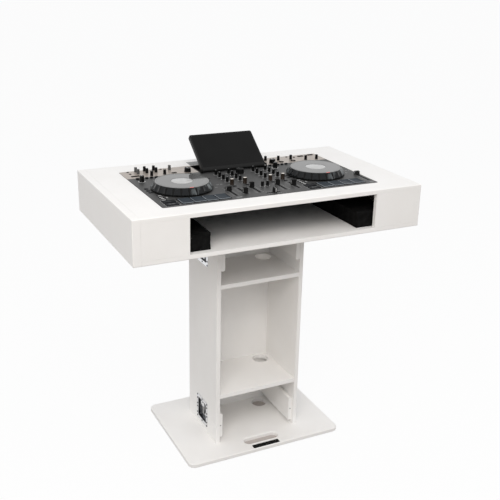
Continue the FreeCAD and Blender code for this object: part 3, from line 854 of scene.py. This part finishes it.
def knob(bm, place, radius, height, foot, tints):
    head = knob_head * radius
    waist = knob_waist * radius
    edge = knob_edge * radius
    skirt = foot + knob_skirt
    well = height - knob_well_drop * edge

    def grip(reach, level, angle):
        if skirt < level < height - edge / 2:
            return reach * (1 - flute_depth * max(0, math.cos(knob_flutes * angle))), angle
        return reach, angle

    outline = [(0, foot), (radius, foot), (radius, skirt - skirt_round), (waist, skirt)]
    for share in flute_rows:
        outline.append((waist + (head - waist) * share, skirt + (height - edge - skirt) * share))
    outline += [(head - edge, height), (head - knob_lip * edge, height), (head - knob_well * edge, well),
                (0, well)]
    dish = len(outline) - 3

    def tint(number, step):
        return tints[0] if number < dish else tints[1]

    lathe(bm, outline, flute_steps * knob_flutes, tint, shape=grip, at=Matrix.Translation(place))
    line = max(print_line, pointer_width * radius)
    level = place[2] + height
    pointer = rectangle(place[0], place[1] + pointer_place * head, line, pointer_length * head)
    prism(bm, pointer, level - edge, level + pointer_rise, tints[2])


def make_knob(node, materials):
    low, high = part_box(node)
    middle = middle_of(node)
    end = low.z - deck
    tints = (0, len(materials) - 2, len(materials) - 1)
    bm = bmesh.new()
    knob(bm, (0, 0, 0), (high.x - low.x) / 2, high.z - deck, fine_gap, tints)
    lathe(bm, [(0, end), (shaft_radius, end), (shaft_radius, fine_gap), (0, fine_gap)], shaft_steps)
    piece = make_piece(bm, node + "_grip", node, materials, (middle.x, middle.y, deck))
    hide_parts(node)


def make_knob_group(node, name, materials, is_grey):
    bm = bmesh.new()
    for low, high in boxes_of(node):
        middle = (low + high) / 2
        tint = 1 if is_grey(middle) else 0
        knob(bm, (middle.x, middle.y, deck), (high.x - low.x) / 2, high.z - deck, 0, (tint, tint, 2))
    piece = make_piece(bm, name, "booth", materials)
    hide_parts(node)


def grey_rear_knob(middle):
    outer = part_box("rear_knobs")[0].x
    return any(abs(middle.x - outer - step) < group_reach for step in grey_knob_steps)


# Fader caps

def cap_outline(length, height):
    half = length / 2
    head = cap_head * half
    right = [(half, fine_gap), (half, cap_foot), (cap_waist * half, cap_waist_level * height),
             (head, height - cap_brow), (head - cap_brow, height), (cap_groove, cap_groove_level * height)]
    return right + [(-y, z) for y, z in right[::-1]]


def make_fader(node, along, line_paint):
    low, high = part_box(node)
    middle = middle_of(node)
    size = high - low
    width, length = (size.x, size.y) if along == "y" else (size.y, size.x)
    height = high.z - deck
    outline = cap_outline(length, height)
    bm = bmesh.new()
    ends = [[bm.verts.new((x, y, z)) for y, z in outline] for x in (-width / 2, width / 2)]
    caps = [bm.faces.new(ends[0][::-1]), bm.faces.new(ends[1])]
    band(bm, *ends)
    soften(bm, [edge for face in caps for edge in face.edges], cap_brow)
    line = rectangle(0, 0, width + 2 * print_rise, cap_line)
    prism(bm, line, cap_line_foot, cap_line_level * height, 1)
    prism(bm, rectangle(0, 0, stem_width, stem_length), low.z - deck, fine_gap)
    if along == "x":
        bmesh.ops.rotate(bm, verts=bm.verts, cent=(0, 0, 0), matrix=Matrix.Rotation(math.pi / 2, 3, "Z"))
    origin = (middle.x, middle.y, deck)
    piece = make_piece(bm, node + "_cap", node, ["plastic", line_paint], origin)
    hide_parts(node)


# Performance pads, each half of the row on a dark ground

def pad_boxes():
    points = sorted(points_of("performance_pads"), key=lambda p: p.x)
    share = len(points) // pad_count
    return [box_of(points[share * number:share * (number + 1)]) for number in range(pad_count)]


def pad(bm, low, high):
    middle = (low + high) / 2
    rim = pad_chamfer + pad_rim
    slope = pad_chamfer + pad_slope * pad_rim
    layers = []
    for inset, level in ((0, low.z), (0, high.z - pad_chamfer), (pad_chamfer, high.z), (rim, high.z),
                         (slope, high.z - pad_dish)):
        size = high - low - 2 * Vector((inset, inset, 0))
        layers.append((round_rectangle(middle.x, middle.y, size.x, size.y, pad_corner), level))
    # The chamfer band takes the painted highlight
    loft(bm, layers, (2, 1, 0, 0))


def make_pads():
    bm = bmesh.new()
    boxes = pad_boxes()
    for half in (boxes[:len(boxes) // 2], boxes[len(boxes) // 2:]):
        low, high = half[0][0], half[-1][1]
        middle = (low + high) / 2
        size = high - low + 2 * Vector((pad_surround, pad_surround, 0))
        mark(bm, rectangle(middle.x, middle.y, size.x, size.y), 2)
    for low, high in boxes:
        pad(bm, low, high)
    piece = make_piece(bm, "pad_tops", "booth", ["pad", "pad_edge", "socket"])
    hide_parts("performance_pads")


# Printing on the deck, with no lettering

def mark(bm, outline, tint=0):
    prism(bm, outline, deck, deck + print_rise, tint)


def print_frame(bm, low, high, gap):
    middle = (low + high) / 2
    inner, outer = [rectangle(middle.x, middle.y, high.x - low.x + 2 * reach, high.y - low.y + 2 * reach)
                    for reach in (gap, gap + print_line)]
    top = deck + print_rise
    loft(bm, ((outer, deck), (outer, top), (inner, top), (inner, deck)), (0, 0, 0, 0), closed=True)


def travel_of(node):
    return next(j for j in frame["joints"] if j["name"] == node + "_slide")["range_m"]


def fader_mark(bm, node, along, at, across, length, width, tint=0):
    middle = middle_of(node)
    if along == "y":
        mark(bm, rectangle(middle.x + across, middle.y + at, width, length), tint)
    else:
        mark(bm, rectangle(middle.x + at, middle.y + across, length, width), tint)


def print_slot(bm, node, along, tint):
    first, last = travel_of(node)
    at = (first + last) / 2
    length = last - first + 2 * slot_end
    for side in (-1, 1):
        across = side * (slot_gap + slot_lip) / 2
        fader_mark(bm, node, along, at, across, length, slot_lip, tint)


def print_scale(bm, node, along, ticks, gap, tick):
    first, last = travel_of(node)
    for number in range(ticks):
        at = first + (last - first) * number / (ticks - 1)
        size = tick * (long_tick if number in (0, ticks // 2, ticks - 1) else 1)
        for side in (-1, 1):
            fader_mark(bm, node, along, at, side * gap, print_line, size)


def print_dial(bm, low, high, dots=dial_dots):
    middle = (low + high) / 2
    reach = (high.x - low.x) / 2 + dial_gap
    for number in range(dots):
        angle = math.radians(dial_middle - dial_sweep / 2 + dial_sweep * number / (dots - 1))
        spot = (middle.x + reach * math.cos(angle), middle.y + reach * math.sin(angle))
        mark(bm, rectangle(*spot, dial_tick, print_line, angle))


def print_ring(bm, low, high, reaches, tint):
    middle = (low + high) / 2
    inner, outer = [(high.x - low.x) / 2 + reach for reach in reaches]
    at = Matrix.Translation((middle.x, middle.y, deck))
    lathe(bm, flat_ring(inner, outer), ring_steps, tint, closed=True, at=at)


def make_mixer_printing():
    bm = bmesh.new()
    for number in numbers:
        print_scale(bm, "channel_fader_%d" % number, "y", *channel_scale)
        print_slot(bm, "channel_fader_%d" % number, "y", 1)
        print_dial(bm, *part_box("filter_knob_%d" % number))
    print_scale(bm, "crossfader", "x", *cross_scale)
    print_slot(bm, "crossfader", "x", 1)
    print_dial(bm, *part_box("effect_knob"), effect_dots)
    for low, high in boxes_of("tone_knobs"):
        print_dial(bm, low, high)
        print_ring(bm, low, high, knob_ring, 0)
    make_piece(bm, "mixer_printing", "booth", ["print", "socket"])


def make_deck_printing(side):
    bm = bmesh.new()
    middle = middle_of("jog_wheel_" + side)
    print_scale(bm, "tempo_fader_" + side, "y", *tempo_scale)
    print_slot(bm, "tempo_fader_" + side, "y", 1)
    print_ring(bm, *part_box("deck_knob_" + side), dial_ring, 2)
    for button in ("cue_button_", "play_button_"):
        print_frame(bm, *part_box(button + side), button_frame)
    for dash in deck_dashes:
        mark(bm, rectangle(*placed(middle, *dash)))
    mark(bm, rectangle(*placed(middle, *bar_plate)), 1)
    for place in deck_bars:
        bar = rectangle(*placed(middle, *place, *deck_bar))
        prism(bm, bar, deck + print_rise, deck + 2 * print_rise, 2)
    make_piece(bm, "deck_printing_" + side, "booth", ["print", "socket", "paint"])


def add_sign(bm, node):
    middle = middle_of(node)
    origin = (middle.x, middle.y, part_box(node)[1].z)
    make_piece(bm, node + "_sign", node, ["knob_grey"], origin)


def make_button_signs(side):
    low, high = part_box("play_button_" + side)
    size = sign_share * (high.y - low.y)
    bm = bmesh.new()
    prism(bm, [(x * size, y * size) for x, y in play_sign], 0, print_rise)
    for x in pause_places:
        prism(bm, rectangle(x * size, 0, pause_bar[0] * size, pause_bar[1] * size), 0, print_rise)
    add_sign(bm, "play_button_" + side)
    bm = bmesh.new()
    lathe(bm, flat_ring(size, cue_ring * size), sign_steps, closed=True)
    add_sign(bm, "cue_button_" + side)


# Grey plate with a black border on the table top behind the player: painted shade for the far wall of a
# cable way

def make_painted_shade_plate():
    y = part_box("player_rear_panel")[1].y + shade_plate_gap + shade_plate_depth / 2
    joint = 2 * shade_plate_joint
    bm = bmesh.new()
    mark(bm, round_rectangle(0, y, shade_plate_width + joint, shade_plate_depth + joint, shade_plate_corner + shade_plate_joint), 1)
    plate = round_rectangle(0, y, shade_plate_width, shade_plate_depth, shade_plate_corner)
    prism(bm, plate, deck + print_rise, deck + print_rise + shade_plate_rise)
    make_piece(bm, "cable_way_shade_sheet", "booth", ["shade_plate_paint", "socket"])


# Small keys on the decks and the mixer, and the sockets and keys on the rear strip

def key(bm, x, y, width, depth, rise=key_rise):
    outline = round_rectangle(x, y, width, depth, key_round * min(width, depth))
    prism(bm, outline, deck, deck + rise, edge=key_edge)


def make_deck_keys(side):
    middle = middle_of("jog_wheel_" + side)
    bm = bmesh.new()
    for place in deck_keys:
        key(bm, *placed(middle, *place))
    for place in rear_keys:
        key(bm, *placed(middle, *place, *rear_key), rear_key_rise)
    make_piece(bm, "deck_keys_" + side, "booth", ["button"])


def make_mixer_keys():
    bm = bmesh.new()
    for number in numbers:
        key(bm, *placed(middle_of("filter_knob_%d" % number), *mixer_key))
    make_piece(bm, "mixer_keys", "booth", ["button"])


def make_strip_details():
    bm = bmesh.new()
    middle = Vector()
    for place in strip_slots:
        key(bm, *placed(middle, *place))
    for place in strip_dots:
        stud(bm, (*placed(middle, *place), deck), (0, 0, 1), dot_radius, key_rise)
    ring = [(r * ring_radius, h * key_rise) for r, h in ring_profile]
    for place in strip_rings:
        at = Matrix.Translation((*placed(middle, *place), deck))
        lathe(bm, ring, socket_steps, closed=True, at=at)
    make_piece(bm, "strip_keys", "booth", ["socket"])


# Light, floor and camera

def seen_rays(tree):
    path = tree.nodes.new("ShaderNodeLightPath")
    seen = path.outputs["Is Camera Ray"]
    for other in ("Is Glossy Ray", "Is Transmission Ray"):
        either = tree.nodes.new("ShaderNodeMath")
        either.operation = "MAXIMUM"
        tree.links.new(seen, either.inputs[0])
        tree.links.new(path.outputs[other], either.inputs[1])
        seen = either.outputs["Value"]
    return seen


def light_world():
    world = bpy.data.worlds.new("studio")
    bpy.context.scene.world = world
    world.use_nodes = True
    tree = world.node_tree
    tree.nodes.clear()
    output = tree.nodes.new("ShaderNodeOutputWorld")
    mix = tree.nodes.new("ShaderNodeMixShader")
    tree.links.new(seen_rays(tree), mix.inputs["Fac"])
    lights = ((1, world_colour, world_fill), (2, backdrop_colour, backdrop_strength))
    for socket, colour, strength in lights:
        background = tree.nodes.new("ShaderNodeBackground")
        background.inputs["Color"].default_value = (*colour, 1)
        background.inputs["Strength"].default_value = strength
        tree.links.new(background.outputs["Background"], mix.inputs[socket])
    tree.links.new(mix.outputs["Shader"], output.inputs["Surface"])


def add_lamp(name, place, target, size, power):
    lamp = bpy.data.lights.new(name, "AREA")
    lamp.shape = "SQUARE"
    lamp.size = size
    lamp.energy = power
    lamp.color = lamp_colour
    holder = bpy.data.objects.new(name, lamp)
    holder.location = place
    holder.rotation_euler = (Vector(target) - Vector(place)).to_track_quat("-Z", "Y").to_euler()
    holder.visible_glossy = False
    bpy.context.scene.collection.objects.link(holder)


def floor_material(name, colour, bounce, brightening):
    material = bpy.data.materials.new(name)
    material.use_nodes = True
    tree = material.node_tree
    tree.nodes.clear()
    seen = seen_rays(tree)
    output = add_node(material, "OutputMaterial")
    mix = add_node(material, "MixShader")
    coats = add_node(material, "MixShader")
    glow = add_node(material, "Emission")
    lift = add_node(material, "Math", operation="MULTIPLY")
    lift.inputs[1].default_value = brightening
    for socket, shade in ((1, bounce), (2, colour)):
        coat = add_node(material, "BsdfDiffuse", color=(*shade, 1))
        link(material, coat, "BSDF", coats, socket)
    tree.links.new(seen, coats.inputs["Fac"])
    tree.links.new(seen, lift.inputs[0])
    link(material, lift, "Value", mix, "Fac")
    link(material, coats, "Shader", mix, 1)
    link(material, glow, "Emission", mix, 2)
    link(material, mix, "Shader", output, "Surface")
    return material


def make_floor():
    bm = bmesh.new()
    inner = rectangle(0, 0, base_high.x - base_low.x - foot_inset, base_high.y - base_low.y - foot_inset)
    outer = rectangle(0, 0, 2 * floor_reach, 2 * floor_reach)
    foot, edge = [[bm.verts.new((x, y, 0)) for x, y in outline] for outline in (inner, outer)]
    bm.faces.new(foot).material_index = 1
    band(bm, edge, foot)
    bmesh.ops.recalc_face_normals(bm, faces=bm.faces)
    mesh = bpy.data.meshes.new("floor")
    bm.to_mesh(mesh)
    bm.free()
    mesh.materials.append(floor_material("floor_pale", floor_colour, floor_bounce, floor_lift))
    # Painted shade: the patch under the foot is coloured darker and gets no lift
    mesh.materials.append(floor_material("floor_painted_shade_under_foot", foot_painted_shade, foot_painted_shade, 0))
    floor = bpy.data.objects.new("floor", mesh)
    floor.location.z = cad_box[0].z - fine_gap
    bpy.context.scene.collection.objects.link(floor)


def make_camera():
    data = bpy.data.cameras.new("photo_camera")
    data.sensor_fit = "HORIZONTAL"
    data.sensor_width = camera_sensor
    data.lens = camera_lens
    camera = bpy.data.objects.new("photo_camera", data)
    turn = Matrix((camera_right, camera_up, camera_back)).transposed()
    camera.matrix_world = Matrix.Translation(camera_place) @ turn.to_4x4()
    bpy.context.scene.collection.objects.link(camera)
    bpy.context.scene.camera = camera


# The booth and the player

def make_booth():
    dress_frame()
    make_rivets()
    make_cleat_screws()
    make_foam()
    make_painted_shade_plate()


def make_player():
    for side in sides:
        make_jog(side)
        make_fader("tempo_fader_" + side, "y", "paint")
        make_knob("deck_knob_" + side, ["knob", "paint"])
        make_knob("browse_knob_" + side, ["knob", "paint"])
        make_deck_printing(side)
        make_deck_keys(side)
        make_button_signs(side)
    for number in numbers:
        make_fader("channel_fader_%d" % number, "y", "print")
        make_knob("filter_knob_%d" % number, ["copper", "beige", "paint"])
    make_fader("crossfader", "x", "paint")
    make_knob("effect_knob", ["knob", "knob_grey"])
    make_knob_group("tone_knobs", "tone_knob_grips", ["knob", "knob_grey", "paint"], lambda middle: False)
    make_knob_group("rear_knobs", "rear_knob_grips", ["knob", "knob_grey", "paint"], grey_rear_knob)
    make_pads()
    make_mixer_printing()
    make_mixer_keys()
    make_strip_details()


make_booth()
make_player()
light_world()
for lamp in lamps:
    add_lamp(*lamp)
make_floor()
make_camera()
bpy.context.scene.view_settings.view_transform = "Standard"
